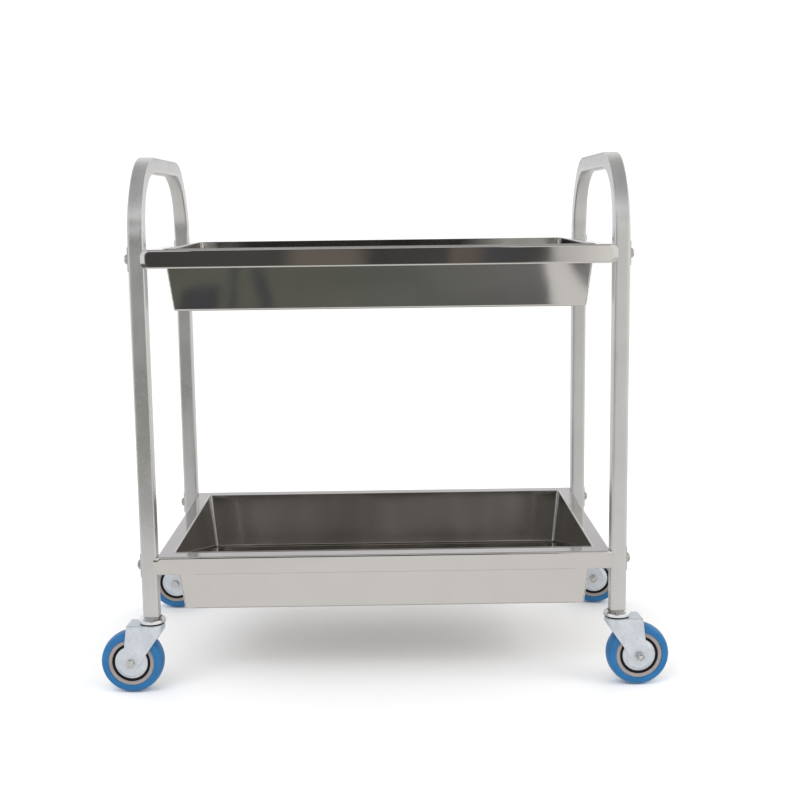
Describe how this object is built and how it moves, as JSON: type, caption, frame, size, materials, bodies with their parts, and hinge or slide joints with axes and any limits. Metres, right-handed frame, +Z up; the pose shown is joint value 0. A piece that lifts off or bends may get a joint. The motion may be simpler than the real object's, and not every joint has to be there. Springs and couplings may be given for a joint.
{
  "type": "instrument cart",
  "caption": "Two-shelf steel instrument cart: bent square-tube side frames with push handles, deep trays and swivel castors with blue tyres.",
  "frame": {"origin": "on the floor, below the middle of the cart", "axes": "+X along the length of the cart towards the right handle, +Y from the front to the back, +Z up"},
  "size_m": [0.9126, 0.5005, 0.85],
  "materials": {
    "frame_steel": "satin stainless steel tube with a fine polish",
    "tray_steel": "bright stainless steel sheet, mirror-like and slightly wavy",
    "zinc_steel": "bright zinc-plated pressed steel",
    "chrome_race": "chrome-plated bearing cup",
    "bolt_steel": "plain steel fastener",
    "wheel_core_plastic": "warm grey moulded plastic",
    "blue_tyre_rubber": "blue elastic rubber, satin"
  },
  "bodies": {
    "cart": {"left_side_frame": "frame_steel", "right_side_frame": "frame_steel", "upper_tray": "tray_steel", "lower_tray": "tray_steel", "upper_front_left_bolt": "bolt_steel", "upper_front_left_saddle_plate": "frame_steel", "upper_front_left_nut": "bolt_steel", "upper_front_right_bolt": "bolt_steel", "upper_front_right_saddle_plate": "frame_steel", "upper_front_right_nut": "bolt_steel", "upper_rear_left_bolt": "bolt_steel", "upper_rear_left_saddle_plate": "frame_steel", "upper_rear_left_nut": "bolt_steel", "upper_rear_right_bolt": "bolt_steel", "upper_rear_right_saddle_plate": "frame_steel", "upper_rear_right_nut": "bolt_steel", "lower_front_left_bolt": "bolt_steel", "lower_front_left_saddle_plate": "frame_steel", "lower_front_left_nut": "bolt_steel", "lower_front_right_bolt": "bolt_steel", "lower_front_right_saddle_plate": "frame_steel", "lower_front_right_nut": "bolt_steel", "lower_rear_left_bolt": "bolt_steel", "lower_rear_left_saddle_plate": "frame_steel", "lower_rear_left_nut": "bolt_steel", "lower_rear_right_bolt": "bolt_steel", "lower_rear_right_saddle_plate": "frame_steel", "lower_rear_right_nut": "bolt_steel", "front_left_swivel_head": "chrome_race", "front_right_swivel_head": "chrome_race", "rear_left_swivel_head": "chrome_race", "rear_right_swivel_head": "chrome_race"},
    "front_left_swivel": {"front_left_fork": "zinc_steel", "front_left_axle_bolt": "bolt_steel", "front_left_axle_nut": "bolt_steel", "front_left_dust_cover_a": "zinc_steel", "front_left_dust_cover_b": "zinc_steel"},
    "front_left_wheel": {"front_left_wheel_core": "wheel_core_plastic", "front_left_tyre": "blue_tyre_rubber"},
    "front_right_swivel": {"front_right_fork": "zinc_steel", "front_right_axle_bolt": "bolt_steel", "front_right_axle_nut": "bolt_steel", "front_right_dust_cover_a": "zinc_steel", "front_right_dust_cover_b": "zinc_steel"},
    "front_right_wheel": {"front_right_wheel_core": "wheel_core_plastic", "front_right_tyre": "blue_tyre_rubber"},
    "rear_left_swivel": {"rear_left_fork": "zinc_steel", "rear_left_axle_bolt": "bolt_steel", "rear_left_axle_nut": "bolt_steel", "rear_left_dust_cover_a": "zinc_steel", "rear_left_dust_cover_b": "zinc_steel"},
    "rear_left_wheel": {"rear_left_wheel_core": "wheel_core_plastic", "rear_left_tyre": "blue_tyre_rubber"},
    "rear_right_swivel": {"rear_right_fork": "zinc_steel", "rear_right_axle_bolt": "bolt_steel", "rear_right_axle_nut": "bolt_steel", "rear_right_dust_cover_a": "zinc_steel", "rear_right_dust_cover_b": "zinc_steel"},
    "rear_right_wheel": {"rear_right_wheel_core": "wheel_core_plastic", "rear_right_tyre": "blue_tyre_rubber"}
  },
  "joints": [
    {"name": "front_left_swivel_turn", "type": "hinge", "parent": "cart", "child": "front_left_swivel", "pos_m": [-0.3725, -0.2225, 0.112], "axis": [0, 0, 1], "continuous": true},
    {"name": "front_left_wheel_roll", "type": "hinge", "parent": "front_left_swivel", "child": "front_left_wheel", "pos_m": [-0.40612, -0.22015, 0.05], "axis": [-0.0698, -0.9976, 0], "continuous": true},
    {"name": "front_right_swivel_turn", "type": "hinge", "parent": "cart", "child": "front_right_swivel", "pos_m": [0.3725, -0.2225, 0.112], "axis": [0, 0, 1], "continuous": true},
    {"name": "front_right_wheel_roll", "type": "hinge", "parent": "front_right_swivel", "child": "front_right_wheel", "pos_m": [0.40612, -0.22015, 0.05], "axis": [-0.0698, 0.9976, 0], "continuous": true},
    {"name": "rear_left_swivel_turn", "type": "hinge", "parent": "cart", "child": "rear_left_swivel", "pos_m": [-0.3725, 0.2225, 0.112], "axis": [0, 0, 1], "continuous": true},
    {"name": "rear_left_wheel_roll", "type": "hinge", "parent": "rear_left_swivel", "child": "rear_left_wheel", "pos_m": [-0.40612, 0.22485, 0.05], "axis": [-0.0698, -0.9976, 0], "continuous": true},
    {"name": "rear_right_swivel_turn", "type": "hinge", "parent": "cart", "child": "rear_right_swivel", "pos_m": [0.3725, 0.2225, 0.112], "axis": [0, 0, 1], "continuous": true},
    {"name": "rear_right_wheel_roll", "type": "hinge", "parent": "rear_right_swivel", "child": "rear_right_wheel", "pos_m": [0.40569, 0.21665, 0.05], "axis": [0.1736, 0.9848, 0], "continuous": true}
  ]
}
